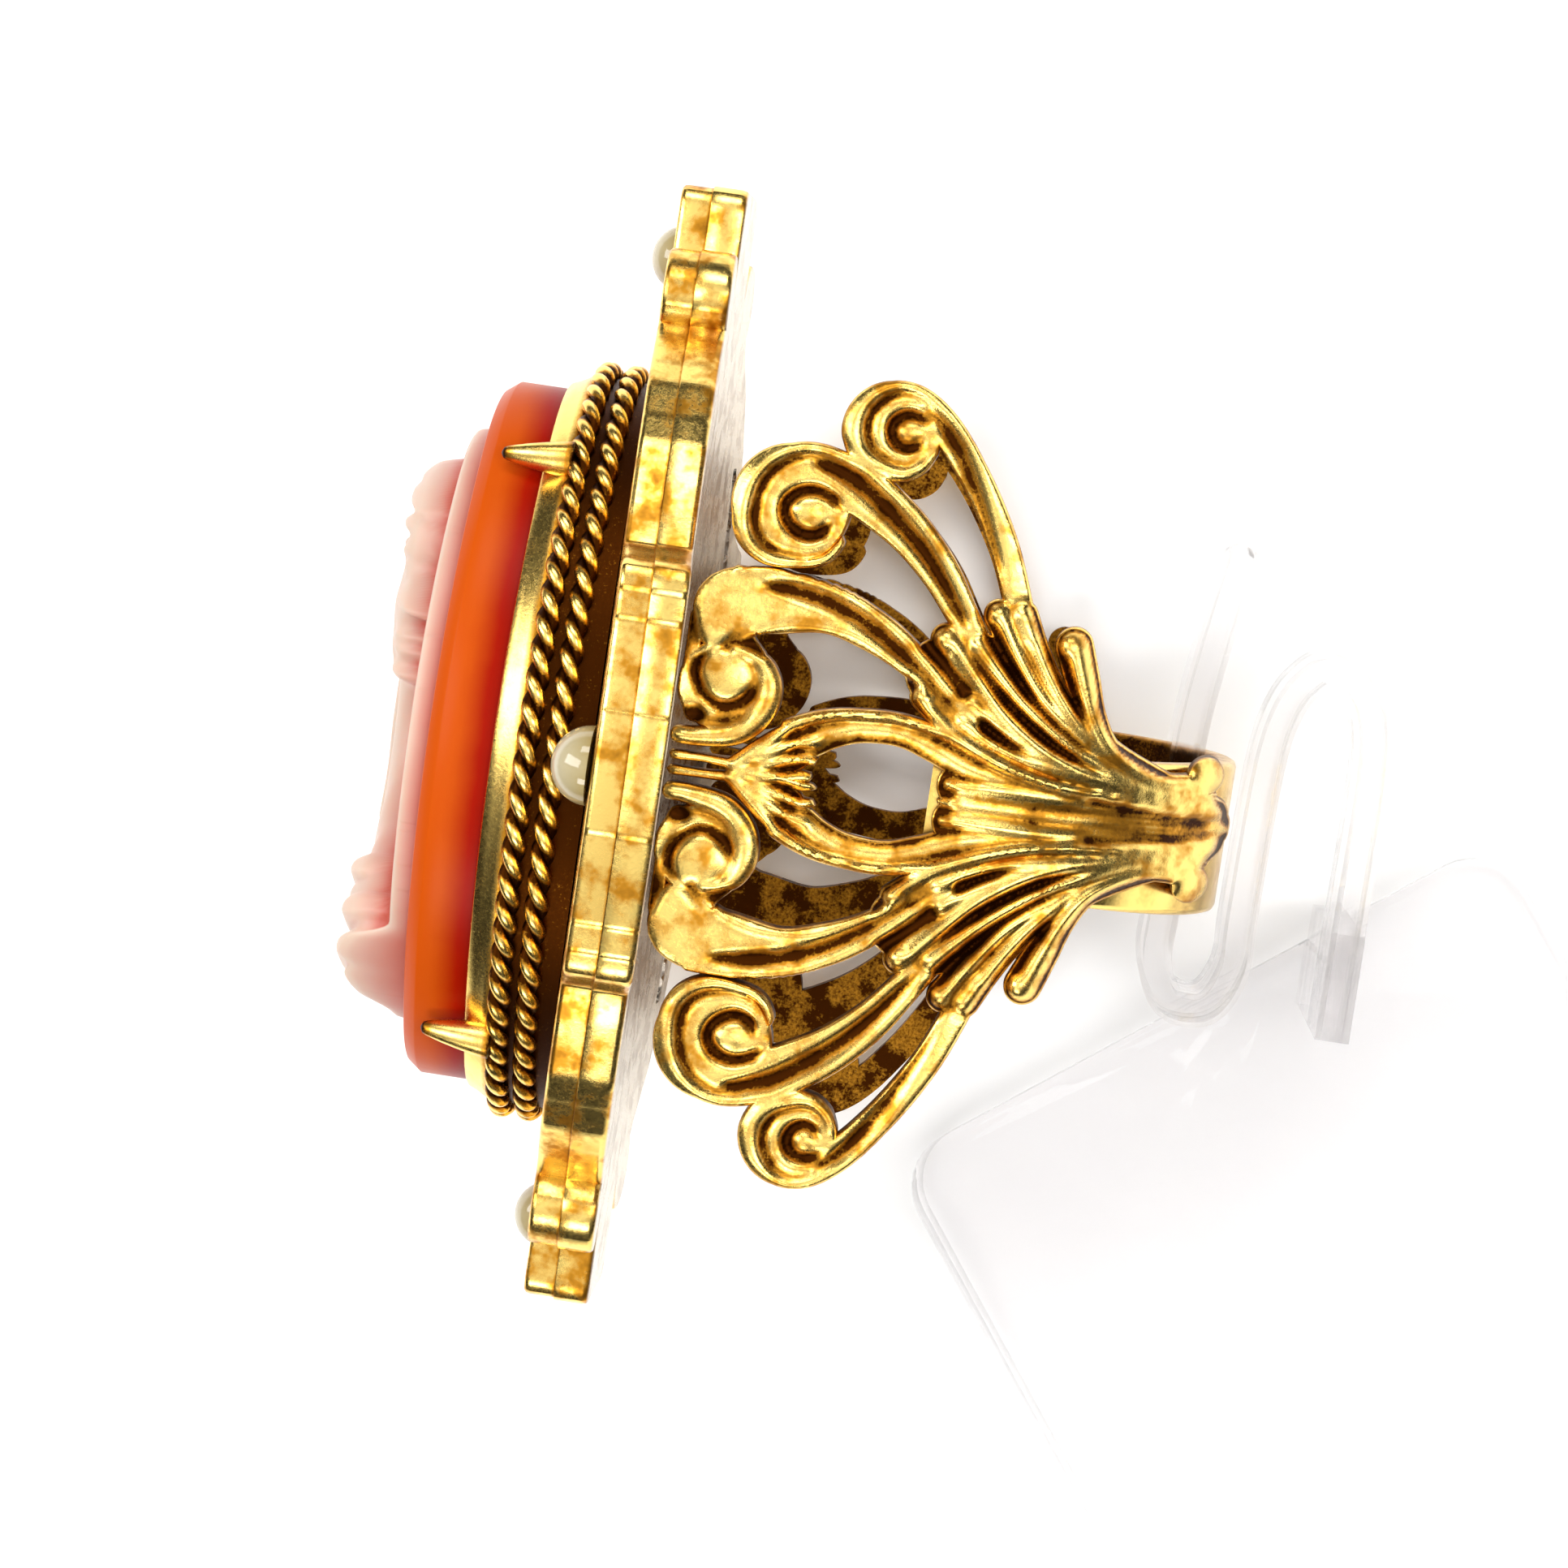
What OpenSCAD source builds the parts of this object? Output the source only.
// Cameo ring with pierced palmette shoulders, lying on its side, its band held by a clear clip stand.
// The ring is drawn head up: X runs across the finger, Y along the finger, Z out of the cameo,
// with the zero at the middle of the plate's back. lay_ring() then lays it on its far shoulder.

/* [Head plate] */
// Length of the plate along the finger
plate_l = 39.8; // [32:0.2:46]
// Width of the plate across the finger, at its middle
plate_w = 26; // [23.5:0.5:32]
// Thickness of the plate, both layers together
plate_t = 2.35; // [1.6:0.05:3]
// Thickness of the rear layer alone
rear_layer_t = 1.2; // [0.6:0.05:1.5]
// How far the front layer is set in from the rear one
layer_step = 0.15; // [0.05:0.05:0.4]
// Radius of the plate's gentle bow round the finger
plate_bow_r = 110; // [60:1:200]
// Half length of the middle lobe
lobe_l = 7.5; // [6.5:0.1:8.5]
// Radius of the middle lobe's side
lobe_r = 34; // [25:1:60]
// Radius of the scoop beside the middle lobe
scoop_r = 1.6; // [0.8:0.1:2.2]
// Width of the tab at each end
tab_w = 5.6; // [4.4:0.1:7]
// Radius of the small lobe beside each tab
ear_r = 1.55; // [1.2:0.05:1.8]
// Radius of the fillets in the plate's outline
plate_fillet = 0.3; // [0.1:0.05:0.4]
// Depth of the blind slots in the plate's back
slot_depth = 0.9; // [0.4:0.1:1.1]
// Width of the blind slots
slot_w = 0.7; // [0.4:0.1:1]

/* [Setting] */
// Length of the stone
stone_l = 25; // [23:0.5:26]
// Width of the stone
stone_w = 18; // [16:0.5:19]
// Thickness of the slab under its bevel
slab_t = 2.6; // [2:0.1:3.4]
// Height of the slab's bevel
bevel_h = 0.45; // [0.2:0.05:0.8]
// Inset of the slab's bevel
bevel_in = 0.4; // [0.2:0.05:0.8]
// Height of the slab's seat above the plate's back
seat_z = 4.55; // [4.4:0.05:5.4]
// Height of the collar's lip over the seat
lip_h = 0.85; // [0.5:0.05:1.2]
// Thickness of the collar's lip
lip_t = 0.12; // [0.08:0.01:0.2]
// Width of the ledge that carries the slab
ledge_w = 1.4; // [0.8:0.1:2]
// Thickness of the cup's wall outside the slab
cup_wall = 0.6; // [0.45:0.05:0.8]
// Thickness of each border wire
wire_d = 0.84; // [0.6:0.02:1]
// How far a border wire stands out of the wall, as a share of its thickness
wire_out = 0.66; // [0.55:0.01:0.75]
// Height of the rear border wire's centre above the plate's back
rear_wire_z = 3.15; // [3.0:0.05:3.3]
// Spacing of the two border wires
wire_step = 0.98; // [0.9:0.02:1.1]
// Radius of the oval's end arcs, at the stone
end_arc_r = 6.5; // [5.5:0.1:7.5]
// Length of a claw
claw_l = 2.5; // [1.8:0.1:3]
// Thickness of a claw at its foot
claw_d = 1.3; // [0.8:0.05:1.5]
// Depth of a claw's foot in the front border wire
claw_sink = 0.2; // [0.1:0.05:0.3]
// Thickness of a claw at its tip
claw_tip_d = 0.4; // [0.2:0.05:0.6]
// Angle from the end of the oval's side arc back to a claw
claw_back = 5.2; // [4:0.2:12]
// Gap between a claw and the slab
claw_gap = 0.08; // [0.05:0.01:0.3]
// Shift of the setting along the finger
stone_y = -0.3; // [-0.5:0.1:0.5]

/* [Cameo] */
// Height of the pale layer round the bust
ground_h = 0.75; // [0.3:0.05:1]
// Height of the bust over the slab
relief_h = 2.75; // [1.6:0.05:3.2]
// Share of the slab's outline that the pale layer covers
relief_share = 0.9; // [0.8:0.01:0.94]

/* [Small stones] */
// Diameter of the stones beside the setting
side_dome_d = 2.7; // [2:0.05:2.8]
// Diameter of the stones on the end tabs
end_dome_d = 2.4; // [1.8:0.05:2.8]
// How far the end stones are sunk, as a share of their radius
dome_sink = 0.25; // [0:0.05:0.4]
// Distance of the side stones' middle from the setting's wall
side_dome_out = 1.8; // [1.6:0.05:2]

/* [Band] */
// Inner radius of the band's round back
finger_r = 9.15; // [8.2:0.05:10]
// Thickness of the band
band_t = 0.85; // [0.6:0.05:1.2]
// Width of the band at its back
band_w = 5.4; // [4.5:0.1:6.5]
// Width of the band at its ends, under the reeds
band_root_w = 4.6; // [3:0.1:5]
// How far the band's ends rise over the middle of the finger hole
band_rise = 0.5; // [0.3:0.1:3]

/* [Shoulders] */
// Reach of a palmette from the plate to its tip, seen from the side
palmette_l = 19; // [17:0.1:20]
// Half height of a palmette along the finger
palmette_h = 13.6; // [11:0.1:15]
// Thickness of the stamping
stamp_t = 0.85; // [0.6:0.05:1.1]
// Height of the raised rims and reeds
rim_h = 0.28; // [0.15:0.01:0.4]
// Width of the raised rims
rim_w = 0.34; // [0.24:0.02:0.5]
// How far the rims keep from the edges of an arm
rim_inset = 0.06; // [0.02:0.01:0.12]
// Radius of the fillets between the arms
fillet_r = 0.12; // [0.05:0.01:0.2]
// Depth of the rims' roots in the stamping
rim_root = 0.15; // [0.05:0.05:0.3]
// Radius of the bead in the middle of a volute
bead_r = 0.42; // [0.3:0.02:0.6]
// Shift of the palmettes along the finger
palmette_y = 0.5; // [-1:0.1:1]
// Shift of the far palmette from the near one, along the finger
far_shift = -0.8; // [-1:0.1:1]

/* [Clip stand] */
// Side of the square base
base_w = 26; // [24:0.5:34]
// Thickness of the base
base_t = 2.2; // [1.6:0.1:3]
// Radius of the base's corners
base_corner_r = 2.2; // [1:0.1:4]
// Turn of the base from the ring's own lines
base_turn = 38; // [30:1:42]
// Width of the clip strip
clip_w = 4.4; // [3:0.1:5]
// Thickness of the clip strip
clip_t = 1.2; // [0.9:0.05:1.4]
// Height of the clip's inner prong over the middle of the band
prong_l = 9.7; // [7:0.1:12]
// Lean of the prong away from the cameo, at its tip
prong_lean = 0.85; // [0.4:0.05:1]
// Height of the clip's outer loop over the middle of the band
loop_l = 6.4; // [5:0.1:9]
// Depth of the clip's lower bend under the middle of the band
bend_l = 6.2; // [5:0.1:8]
// Width of the clip's outer loop
loop_w = 3.8; // [3:0.1:5]
// Distance of the base's middle from the band's back, across the finger
base_reach = 6.7; // [5.5:0.1:9]
// Distance of the base's middle from the ring's middle, as a share of the base's side
base_side = 0.67; // [0.62:0.01:0.72]
// Distance of the clip's foot from the ring's middle, as a share of the base's side
foot_side = 0.25; // [0.23:0.01:0.28]

/* [Hidden] */

// Clearance between pieces that are soldered or set
joint_gap = 0.06;
// Clearance of the clip from the band
clip_gap = 0.14;
// How much nearer to the plate the finger hole's centre lies than its outer radius
hole_shift = 0.1;
// Steps between the named points of a scroll
scroll_steps = 2;
// Flats round an oval outline
oval_sides = 56;
// Half angle and inset of the keys that join the oval's arcs across their seams
key_turn = 3;
key_in = 0.06;

function bow(x) = plate_bow_r - sqrt(plate_bow_r * plate_bow_r - x * x);

stone_a = stone_l / 2;
stone_b = stone_w / 2;
slab_z = seat_z + joint_gap;
slab_top = slab_z + slab_t + bevel_h;

// The finger hole is a round back, the band's, with straight sides up to the plate, the stampings'
band_out_r = finger_r + band_t;
shell_in_r = band_out_r + joint_gap;
shell_out_r = shell_in_r + stamp_t;
side_r = shell_out_r + rim_h;
stamp_root = bow(side_r) + joint_gap;
hole_z = band_out_r - hole_shift;

// The ring leans until the plate's far edge and the far shoulder both touch the floor
lean_a = plate_w / 2;
lean_b = hole_z - bow(plate_w / 2);
lean = acos(side_r / norm([lean_a, lean_b])) - atan2(lean_b, lean_a);
lift = hole_z * sin(lean) + side_r;

// Place of the ring's zero, seen from the middle of the base
ring_at = [-(hole_z + band_out_r) * cos(lean) - base_reach, base_w * base_side, lift];

// Four-arc oval: side arcs of radius side_arc, end arcs of radius end_arc_r, grown outward by d
end_c = stone_a - end_arc_r;
side_arc = (end_c * end_c + stone_b * stone_b - end_arc_r * end_arc_r) / (2 * (stone_b - end_arc_r));
side_c = side_arc - stone_b;
arc_turn = atan2(end_c, side_c);
arc_steps = oval_sides / 4;

function arc(cx, cy, r, from, to) =
    [for (i = [0 : arc_steps - 1]) let (a = from + (to - from) * i / arc_steps)
        [cx + r * cos(a), cy + r * sin(a)]];
function oval(d) = concat(
    arc(-side_c, 0, side_arc + d, -arc_turn, arc_turn),
    arc(0, end_c, end_arc_r + d, arc_turn, 180 - arc_turn),
    arc(side_c, 0, side_arc + d, 180 - arc_turn, 180 + arc_turn),
    arc(0, -end_c, end_arc_r + d, 180 + arc_turn, 360 - arc_turn));

// A profile of (distance outside the stone, height), swept round the oval
module round_oval() {
    for (m = [0, 1]) mirror([m, 0, 0]) {
        translate([-side_c, 0, 0]) rotate([0, 0, -arc_turn])
            rotate_extrude(angle = 2 * arc_turn, $fn = 96) translate([side_arc, 0]) children();
    }
    for (m = [0, 1]) mirror([0, m, 0]) {
        translate([0, end_c, 0]) rotate([0, 0, arc_turn])
            rotate_extrude(angle = 180 - 2 * arc_turn, $fn = 96) translate([end_arc_r, 0]) children();
    }
    for (mx = [0, 1], my = [0, 1]) mirror([mx, 0, 0]) mirror([0, my, 0])
        translate([-side_c, 0, 0]) rotate([0, 0, arc_turn - key_turn])
            rotate_extrude(angle = 2 * key_turn, $fn = 96)
                translate([side_arc, 0]) offset(delta = -key_in) children();
}

// Smooth curve through a table's rows
function blend(a, b, c, d, t) =
    0.5 * (2 * b + (c - a) * t + (2 * a - 5 * b + 4 * c - d) * t * t + (3 * b - a - 3 * c + d) * t * t * t);
function smooth(rows, steps) = concat(
    [for (i = [0 : len(rows) - 2]) for (j = [0 : steps - 1])
        blend(rows[max(i - 1, 0)], rows[i], rows[i + 1], rows[min(i + 2, len(rows) - 1)], j / steps)],
    [rows[len(rows) - 1]]);

// Left-hand normal of a path at point i
function along(path, i) = let (d = path[min(i + 1, len(path) - 1)] - path[max(i - 1, 0)])
    [-d.y, d.x] / norm([d.x, d.y]);
function beside(path, shift) = [for (i = [0 : len(path) - 1])
    [path[i].x, path[i].y] + along(path, i) * (path[i].z * shift[0] + shift[1])];
function turned(points) = [for (i = [len(points) - 1 : -1 : 0]) points[i]];

// Strip between two shifts, each a share of the width and a fixed distance
module strip(path, one, other) {
    polygon(concat(beside(path, one), turned(beside(path, other))));
}

function sized(rows) = [for (r = rows) [r.x * palmette_l, r.y * palmette_h, r.z * palmette_h]];

// Scroll arms: [reach, height, width] as shares of the palmette
scroll_1 = [[0.251, 0.875, 0.081], [0.283, 0.938, 0.081], [0.335, 0.952, 0.081], [0.396, 0.901, 0.079],
            [0.443, 0.820, 0.077], [0.488, 0.728, 0.074], [0.530, 0.625, 0.073], [0.566, 0.509, 0.071],
            [0.593, 0.426, 0.066]];
scroll_2 = [[0.096, 0.662, 0.118], [0.119, 0.735, 0.118], [0.175, 0.761, 0.118], [0.241, 0.735, 0.125],
            [0.309, 0.688, 0.118], [0.367, 0.632, 0.107], [0.425, 0.551, 0.092], [0.475, 0.460, 0.080]];
scroll_3 = [[0.048, 0.338, 0.096], [0.072, 0.408, 0.162], [0.156, 0.423, 0.154], [0.246, 0.423, 0.118],
            [0.330, 0.382, 0.099], [0.396, 0.331, 0.085], [0.456, 0.265, 0.076]];
scrolls = [scroll_1, scroll_2, scroll_3];
// Volutes: [reach, height, radius] as shares of the palmette, and the direction its spiral starts in
volutes = [[0.306, 0.871, 0.125, 150], [0.152, 0.664, 0.149, 190], [0.093, 0.180, 0.122, 80]];
// Reed tips: [reach, height, width] as shares, and the bend that each takes on its way back
reed_tips = [[0.428, 0.250, 0.075], [0.456, 0.392, 0.080], [0.498, 0.432, 0.075], [0.541, 0.465, 0.078],
             [0.585, 0.470, 0.074], [0.675, 0.420, 0.085]];
reed_end = [0.985, 0.030, 0.022];
function reed(i) = let (tip = reed_tips[i], k = i / (len(reed_tips) - 1))
    [tip,
     [tip.x + 0.125 - 0.075 * k, tip.y * 0.60, 0.052],
     [tip.x + 0.28 - 0.14 * k, tip.y * 0.31, 0.038],
     [0.86 + 0.03 * k, 0.07 + 0.03 * k, 0.030],
     reed_end + [0, 0.012 * i, 0]];

module lens(length, height) {
    r = (length * length / 4 + height * height) / (2 * height);
    intersection() {
        translate([0, height - r]) circle(r, $fn = 48);
        translate([0, r - height]) circle(r, $fn = 48);
    }
}

// Leaf that the reeds grow from: [reach, height] as shares
leaf = [[0.50, 0.10], [0.45, 0.22], [0.46, 0.30], [0.48, 0.38], [0.52, 0.44], [0.56, 0.47], [0.60, 0.46],
        [0.64, 0.37], [0.66, 0.42], [0.69, 0.42], [0.715, 0.34], [0.745, 0.24], [0.79, 0.16], [0.87, 0.105],
        [0.97, 0.06], [0.97, 0.0], [0.53, 0.0]];
// Beads between the volutes and the almond: [reach, height, radius] as shares
beads = [[0.135, 0.090, 0.050], [0.190, 0.100, 0.055], [0.240, 0.090, 0.050]];
// Curl at the tip: [reach, height, radius] as shares
curl = [0.940, 0.125, 0.055];
// Stem at the root and ribs towards the tip: [reach, length, half width] as shares
stem = [0, 0.26, 0.032];
root_rib = [0.50, 0.44, 0.09];
// Raised rib beside the middle line: [reach, length, distance from the line, width] as shares
mid_rib = [0.5, 0.48, 0.014, 0.03];
// Half width of a reed's ridge and radius of the curl's top, as shares of the reed and the curl
reed_ridge = 0.3;
curl_top = 0.62;

// Disc and bar at shares of the palmette's reach and height
module disc(d, share) {
    translate([d.x * palmette_l, d.y * palmette_h]) circle(d.z * palmette_h * share, $fn = 20);
}
module bar(b) {
    translate([b.x * palmette_l, -b.z * palmette_h]) square([b.y * palmette_l, 2 * b.z * palmette_h]);
}

almond_at = [0.375 * palmette_l, 0];
almond_l = 0.258 * palmette_l;
almond_h = 0.122 * palmette_h;
almond_rim = 0.072 * palmette_h;

// Everything above the palmette's middle line
module palmette_half() {
    for (rows = scrolls) strip(smooth(sized(rows), scroll_steps), [0.5, 0], [-0.5, 0]);
    for (v = volutes) translate([v.x * palmette_l, v.y * palmette_h]) circle(v.z * palmette_h, $fn = 28);
    for (i = [0 : len(reed_tips) - 1]) {
        strip(smooth(sized(reed(i)), scroll_steps), [0.5, 0], [-0.5, 0]);
        translate([reed_tips[i].x * palmette_l, reed_tips[i].y * palmette_h])
            circle(reed_tips[i].z * palmette_h / 2, $fn = 14);
    }
    polygon([for (p = leaf) [p.x * palmette_l, p.y * palmette_h]]);
    disc(curl, 1);
    for (b = beads) disc(b, 1);
}

module both_halves() {
    for (m = [0, 1]) mirror([0, m, 0]) children();
}

// Outline of the stamping: X is the depth below the plate, Y runs along the finger
module palmette() {
    difference() {
        offset(r = -fillet_r) offset(r = fillet_r) union() {
            both_halves() palmette_half();
            translate(almond_at) lens(almond_l + 4 * almond_rim, almond_h + almond_rim);
            bar(stem);
            bar(root_rib);
        }
        translate(almond_at) lens(almond_l, almond_h);
    }
}

// Raised lines on the stamping: rims of the scrolls, spirals, reeds and the almond's rim
module spiral(v) {
    steps = 14;
    turn = 396;
    from_r = bead_r - rim_w / 3;
    to_r = v.z * palmette_h - rim_w;
    path = [for (i = [0 : steps])
        let (k = i / steps, r = from_r * (1 - k) + to_r * k, a = v[3] + turn * k)
        [v.x * palmette_l + r * cos(a), v.y * palmette_h + r * sin(a), rim_w]];
    strip(path, [0.5, 0], [-0.5, 0]);
}

module raised_half() {
    for (rows = scrolls) {
        path = smooth(sized(rows), scroll_steps);
        strip(path, [0.5, -rim_inset], [0.5, -rim_inset - rim_w]);
        strip(path, [-0.5, rim_inset], [-0.5, rim_inset + rim_w]);
    }
    for (v = volutes) {
        spiral(v);
        translate([v.x * palmette_l, v.y * palmette_h]) circle(bead_r, $fn = 14);
    }
    for (i = [0 : len(reed_tips) - 1])
        strip(smooth(sized(reed(i)), scroll_steps), [reed_ridge, 0], [-reed_ridge, 0]);
    disc(curl, curl_top);
}

module raised_lines() {
    offset(delta = 0.001) union() {
        both_halves() raised_half();
        difference() {
            translate(almond_at) lens(almond_l + 3 * almond_rim, almond_h + almond_rim * 0.8);
            translate(almond_at) lens(almond_l + 3 * rim_inset, almond_h + rim_inset);
        }
        both_halves() translate([mid_rib[0] * palmette_l, mid_rib[2] * palmette_h])
            square([mid_rib[1] * palmette_l, mid_rib[3] * palmette_h]);
    }
}

// Section of the shank: a round back and straight sides up to the plate
module shank_section(r, top) {
    translate([0, -hole_z]) circle(r, $fn = 120);
    translate([-r, -hole_z]) square([2 * r, hole_z - top]);
}

module shank_wall(outer, inner, top, length) {
    rotate([90, 0, 0]) linear_extrude(height = length, center = true) difference() {
        shank_section(outer, top);
        shank_section(inner, top - band_t);
    }
}

// Something drawn in the side view, cut out across the ring
module seen_from_side(from, reach) {
    translate([from, 0, 0]) rotate([0, 90, 0]) linear_extrude(height = reach) children();
}

module lay_ring() {
    translate(ring_at) rotate([0, lean - 90, 0]) children();
}

// Bars across the plate: [width, length] as shares of the plate, and the ears' place along it
middle_bar = [0.7, 0.4];
end_bar = 0.83;
ear_at = 0.403;
// Distance of an ear's middle from the tab, as a share of its radius
ear_out = 0.95;
// Place of the four scoops, as a share of the plate's width, and their shift as shares of their radius
scoop_at = 0.4;
scoop_out = [0.9, 0.75];
// Place of the blind slots in the plate's back, as a share of its width
slot_at = 0.36;
// Reach of each blind slot: [across, width] as shares of the plate's width, and [along] of the lobe's length
slot_box = [0.3, 0.2, 0.85];
// Neck of the plate: [half width, distance from the middle] as shares of the plate
neck = [[0.420, 0.30], [0.385, 0.43], [0.350, 0.54], [0.300, 0.635], [0.225, 0.715], [0.17, 0.80]];

module plate_outline() {
    offset(r = plate_fillet) offset(r = -2 * plate_fillet) offset(r = plate_fillet) difference() {
        union() {
            intersection() {
                square([plate_w, 2 * lobe_l], center = true);
                translate([plate_w / 2 - lobe_r, 0]) circle(lobe_r, $fn = 180);
                translate([lobe_r - plate_w / 2, 0]) circle(lobe_r, $fn = 180);
            }
            both_halves() polygon(concat(
                [for (p = neck) [p.x * plate_w, p.y * plate_l / 2]],
                turned([for (p = neck) [-p.x * plate_w, p.y * plate_l / 2]])));
            square([plate_w * middle_bar.x, plate_l * middle_bar.y], center = true);
            for (sx = [-1, 1], sy = [-1, 1])
                translate([sx * (tab_w / 2 + ear_r * ear_out), sy * plate_l * ear_at])
                    circle(ear_r, $fn = 40);
            square([tab_w, plate_l], center = true);
            square([tab_w + 2 * ear_r, plate_l * end_bar], center = true);
        }
        for (sx = [-1, 1], sy = [-1, 1])
            translate([sx * (plate_w * scoop_at + scoop_r * scoop_out.x),
                sy * (lobe_l + scoop_r * scoop_out.y)])
                circle(scoop_r, $fn = 40);
    }
}

// Part of a bowed sheet between two heights over the plate's back
module bowed(from, to) {
    intersection() {
        linear_extrude(height = plate_w, center = true) children();
        translate([0, 0, -plate_bow_r]) rotate([90, 0, 0]) difference() {
            cylinder(h = 1.1 * plate_l, r = plate_bow_r + to, center = true, $fn = 360);
            cylinder(h = 1.2 * plate_l, r = plate_bow_r + from, center = true, $fn = 360);
        }
    }
}

// Clears what lies under a height over the plate's back
module above_plate(from) {
    difference() {
        children();
        translate([0, 0, -plate_bow_r]) rotate([90, 0, 0])
            cylinder(h = 1.2 * plate_l, r = plate_bow_r + from, center = true, $fn = 360);
    }
}

module frame_plate() {
    color("goldenrod") lay_ring() difference() {
        union() {
            bowed(0, rear_layer_t) plate_outline();
            bowed(rear_layer_t * 0.9, plate_t) offset(delta = -layer_step) plate_outline();
        }
        // blind crescents that follow the lobes on the back
        for (sx = [-1, 1], sy = [-1, 1]) intersection() {
            linear_extrude(height = plate_w, center = true) difference() {
                translate([sx * (plate_w * slot_at - lobe_r), 0]) circle(lobe_r, $fn = 180);
                translate([sx * (plate_w * slot_at - lobe_r - slot_w), 0]) circle(lobe_r, $fn = 180);
            }
            translate([sx * plate_w * slot_box.x, sy * lobe_l * slot_box.z, 0])
                cube([plate_w * slot_box.y, lobe_l, plate_w], center = true);
            translate([0, 0, -plate_bow_r]) rotate([90, 0, 0])
                cylinder(h = plate_l, r = plate_bow_r + slot_depth, center = true, $fn = 360);
        }
    }
}

// Half-round border wire on the cup's wall, from its lower to its upper edge
function wire_bump(z) = [for (a = [-75 : 30 : 75])
    [cup_wall + wire_d * wire_out * cos(a), z + wire_d / 2 * sin(a)]];

module setting_cup() {
    color("gold") lay_ring() above_plate(plate_t + joint_gap) translate([0, stone_y, 0]) {
        round_oval() polygon(concat(
            [[-ledge_w, plate_t / 2], [cup_wall, plate_t / 2]],
            wire_bump(rear_wire_z), wire_bump(rear_wire_z + wire_step),
            [[joint_gap + lip_t, seat_z + lip_h], [joint_gap, seat_z + lip_h], [joint_gap, seat_z],
             [-ledge_w, seat_z]]));
        for (sx = [-1, 1], sy = [-1, 1]) claw(sx, sy);
    }
}

// Foot of a claw, on the oval's side arc and just outside the slab
claw_turn = arc_turn - claw_back;
claw_on = [-side_c, 0] + (side_arc + claw_d / 2 + claw_gap) * [cos(claw_turn), sin(claw_turn)];
claw_z = rear_wire_z + wire_step + wire_d / 2 - claw_sink;
module claw(sx, sy) {
    translate([sx * claw_on.x, sy * claw_on.y, claw_z])
        cylinder(h = claw_l, d1 = claw_d, d2 = claw_tip_d, $fn = 24);
}

module carnelian() {
    color("orangered") lay_ring() translate([0, stone_y, slab_z]) {
        linear_extrude(height = slab_t) polygon(oval(0));
        bevel(oval(0), oval(-bevel_in), slab_t - 0.001, bevel_h);
    }
}

// Sloping ring of facets between two outlines with as many points, closed top and bottom
module bevel(low, high, z, h) {
    n = len(low);
    polyhedron(
        points = concat([for (p = low) [p.x, p.y, z]], [for (p = high) [p.x, p.y, z + h]]),
        faces = concat([[for (i = [n - 1 : -1 : 0]) n + i]], [[for (i = [0 : n - 1]) i]],
            [for (i = [0 : n - 1]) [i, n + i, n + (i + 1) % n, (i + 1) % n]]));
}

// Forms of the bust, facing +X: [across, up, half width, half height, turn, height] as shares of the
// stone's half width, its half length and the relief's height
bust = [
    [-0.08,  0.45, 0.43, 0.27,   0, 0.95],  // skull and hair
    [ 0.13,  0.32, 0.26, 0.26,   0, 0.88],  // face
    [ 0.36,  0.31, 0.10, 0.07, -25, 0.68],  // nose
    [ 0.21,  0.49, 0.15, 0.11,   0, 0.80],  // forehead
    [ 0.31,  0.21, 0.08, 0.05,   0, 0.68],  // lips
    [ 0.27,  0.13, 0.10, 0.06,   0, 0.72],  // chin
    [ 0.10,  0.17, 0.22, 0.11,  15, 0.80],  // jaw
    [ 0.04,  0.61, 0.32, 0.12,  -8, 0.98],  // hair over the brow
    [-0.47,  0.37, 0.19, 0.17,   0, 1.00],  // knot of hair
    [-0.27,  0.06, 0.20, 0.30,   8, 0.96],  // locks down the neck
    [-0.06, -0.06, 0.23, 0.26,   5, 0.88],  // neck
    [ 0.06, -0.42, 0.52, 0.31,   0, 0.92],  // chest
    [-0.34, -0.44, 0.33, 0.28,  15, 0.90],  // shoulder at the back
    [ 0.40, -0.52, 0.28, 0.22, -15, 0.86],  // shoulder at the front
    [ 0.00, -0.64, 0.62, 0.17,   0, 0.90]]; // drapery
roundness = 0.5;
function form(f, x, y) = let (dx = x - f[0] * stone_b, dy = y - f[1] * stone_a,
        c = cos(f[4]), s = sin(f[4]), u = (dx * c + dy * s) / (f[2] * stone_b),
        v = (dy * c - dx * s) / (f[3] * stone_a), q = 1 - u * u - v * v)
    q > 0 ? f[5] * pow(q, roundness) : 0;
function relief(x, y) = ground_h + (relief_h - ground_h) * max([for (f = bust) form(f, x, y)]);

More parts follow.
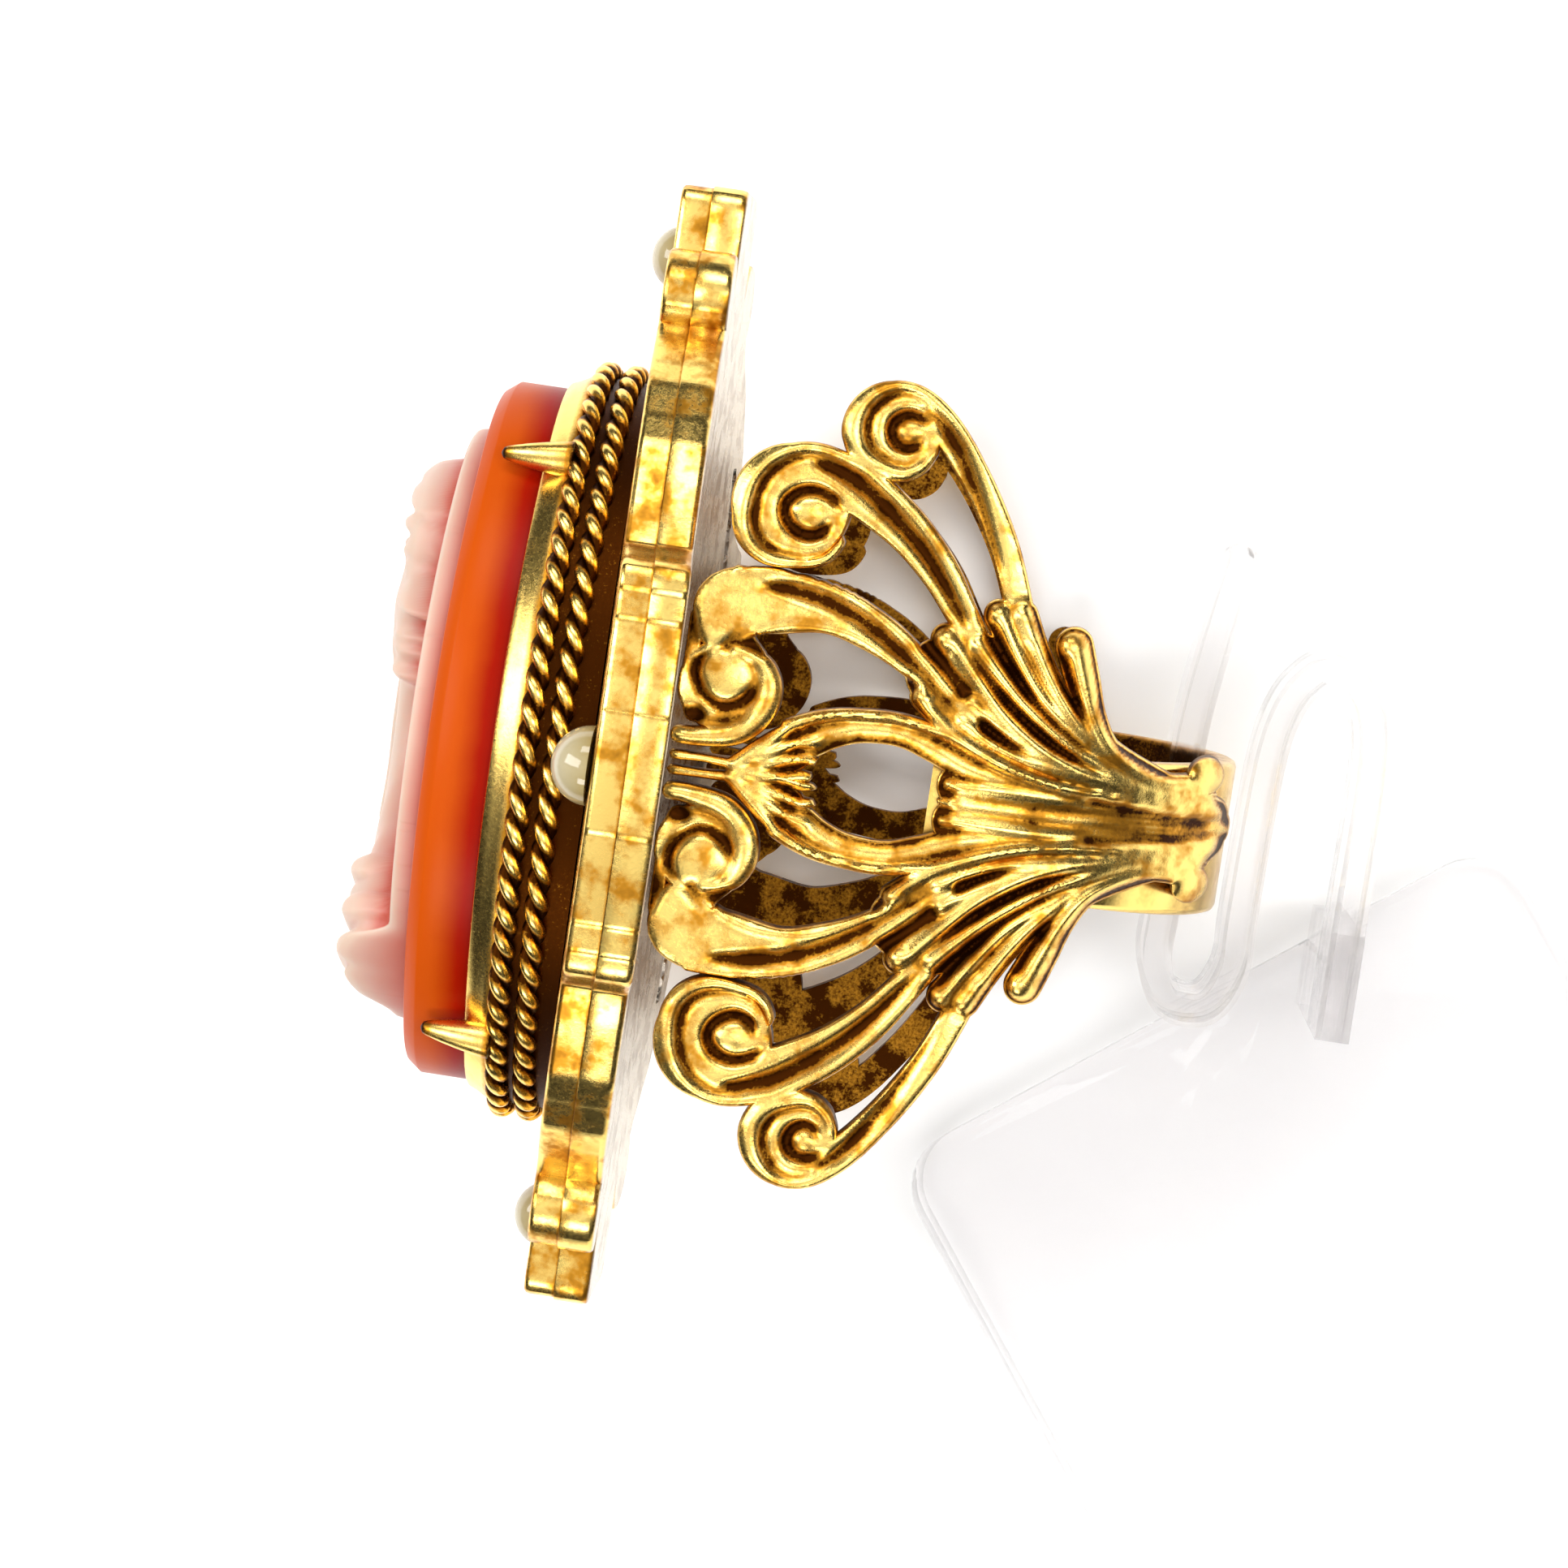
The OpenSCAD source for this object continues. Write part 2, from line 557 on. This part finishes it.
module cameo_relief() {
    rings = 20;
    edge = oval(-bevel_in - joint_gap);
    edge_share = 0.4;
    n = len(edge);
    function at(k, i) = edge[i] * relief_share * k / rings;
    top = [for (k = [1 : rings], i = [0 : n - 1]) let (p = at(k, i))
        [p.x, p.y, k == rings ? ground_h * edge_share : relief(p.x, p.y)]];
    low = [for (i = [0 : n - 1]) let (p = at(rings, i)) [p.x, p.y, 0]];
    mid = (rings + 1) * n;
    color("mistyrose") lay_ring() translate([0, stone_y, slab_top + joint_gap]) polyhedron(
        points = concat(top, low, [[0, 0, relief(0, 0)], [0, 0, 0]]),
        faces = concat(
            [for (k = [0 : rings - 1], i = [0 : n - 1]) let (j = (i + 1) % n, a = k * n, b = (k + 1) * n)
                [a + i, a + j, b + j]],
            [for (k = [0 : rings - 1], i = [0 : n - 1]) let (j = (i + 1) % n, a = k * n, b = (k + 1) * n)
                [a + i, b + j, b + i]],
            [for (i = [0 : n - 1]) [mid, (i + 1) % n, i]],
            [for (i = [0 : n - 1]) [mid + 1, rings * n + i, rings * n + (i + 1) % n]]));
}

module dome(x, y, d, sink) {
    color("lightgrey") lay_ring() above_plate(plate_t + joint_gap / 2)
        translate([x, y, plate_t - bow(x) - sink]) sphere(d = d, $fn = 32);
}

side_dome_x = stone_b + cup_wall + side_dome_out;
end_dome_y = plate_l * 0.435;
module dome_top() dome(0, end_dome_y, end_dome_d, end_dome_d / 2 * dome_sink);
module dome_bottom() dome(0, -end_dome_y, end_dome_d, end_dome_d / 2 * dome_sink);
module dome_near() dome(side_dome_x, 0, side_dome_d, 0);
module dome_far() dome(-side_dome_x, 0, side_dome_d, 0);

module band() {
    ends = hole_z - band_rise;
    back = hole_z + band_out_r + band_t;
    color("gold") lay_ring() intersection() {
        shank_wall(band_out_r, finger_r, ends, band_w);
        seen_from_side(-band_out_r - band_t, 2 * (band_out_r + band_t)) polygon([
            [ends - band_t, -band_root_w / 2], [back, -band_w / 2],
            [back, band_w / 2], [ends - band_t, band_root_w / 2]]);
    }
}

module shoulder(shift) {
    intersection() {
        shank_wall(shell_out_r, shell_in_r, stamp_root, 2.4 * palmette_h);
        seen_from_side(band_t, side_r) translate([stamp_root, shift]) palmette();
    }
    intersection() {
        shank_wall(side_r, shell_out_r - rim_root, stamp_root, 2.4 * palmette_h);
        seen_from_side(band_t, side_r) translate([stamp_root, shift]) raised_lines();
    }
}

module shoulder_near() { color("gold") lay_ring() shoulder(palmette_y); }
module shoulder_far() { color("gold") lay_ring() mirror([1, 0, 0]) shoulder(palmette_y + far_shift); }

// Route of the clip strip seen from the side: inner prong, lower bend, outer loop, post
inner_x = hole_z + sqrt(finger_r * finger_r - clip_w * clip_w / 4) - clip_gap - clip_t / 2;
outer_x = hole_z + band_out_r + 2 * clip_gap + clip_t / 2;
clip_mid = (inner_x + outer_x) / 2;
bend_w = 0.3 * (outer_x - inner_x);
post_x = outer_x + loop_w;
post_y = -base_w * foot_side;
clip_route = [
    [inner_x + prong_lean, prong_l, clip_t], [inner_x + 0.35 * prong_lean, prong_l * 0.62, clip_t],
    [inner_x, band_w / 2, clip_t], [inner_x, -band_w / 2, clip_t], [inner_x, -bend_l * 0.74, clip_t],
    [clip_mid - bend_w, -bend_l * 0.95, clip_t], [clip_mid, -bend_l, clip_t],
    [clip_mid + bend_w, -bend_l * 0.95, clip_t], [outer_x, -bend_l * 0.74, clip_t],
    [outer_x, -band_w / 2, clip_t], [outer_x + 0.03 * loop_w, loop_l * 0.4, clip_t],
    [outer_x + 0.13 * loop_w, loop_l * 0.75, clip_t], [outer_x + 0.32 * loop_w, loop_l * 0.94, clip_t],
    [(outer_x + post_x) / 2, loop_l, clip_t], [post_x - 0.27 * loop_w, loop_l * 0.94, clip_t],
    [post_x - 0.08 * loop_w, loop_l * 0.75, clip_t], [post_x, loop_l * 0.4, clip_t],
    [post_x, -band_w / 2, clip_t], [post_x, post_y, clip_t]];
post_drop = (lift - post_x * sin(lean) - base_t * 0.5) / cos(lean);

module clip_stand() {
    color("aliceblue") union() {
        translate([0, 0, base_t / 2]) rotate([0, 0, base_turn]) rounded_slab(base_w, base_t, base_corner_r);
        lay_ring() {
            seen_from_side(-clip_w / 2, clip_w) union() {
                strip(smooth(clip_route, 3), [0.5, 0], [-0.5, 0]);
                translate([inner_x + prong_lean, prong_l]) circle(clip_t / 2, $fn = 24);
            }
            translate([-post_drop, post_y, -post_x - clip_t / 2])
                cube([post_drop + clip_w / 2, -post_y - band_w / 2, clip_t]);
        }
    }
}

module rounded_slab(width, height, r) {
    cube([width - 2 * r, width, height], center = true);
    cube([width, width - 2 * r, height], center = true);
    for (sx = [-1, 1], sy = [-1, 1]) translate([sx * (width / 2 - r), sy * (width / 2 - r), 0])
        cylinder(h = height, r = r, center = true, $fn = 48);
}

frame_plate();
setting_cup();
carnelian();
cameo_relief();
dome_top();
dome_bottom();
dome_near();
dome_far();
band();
shoulder_near();
shoulder_far();
clip_stand();
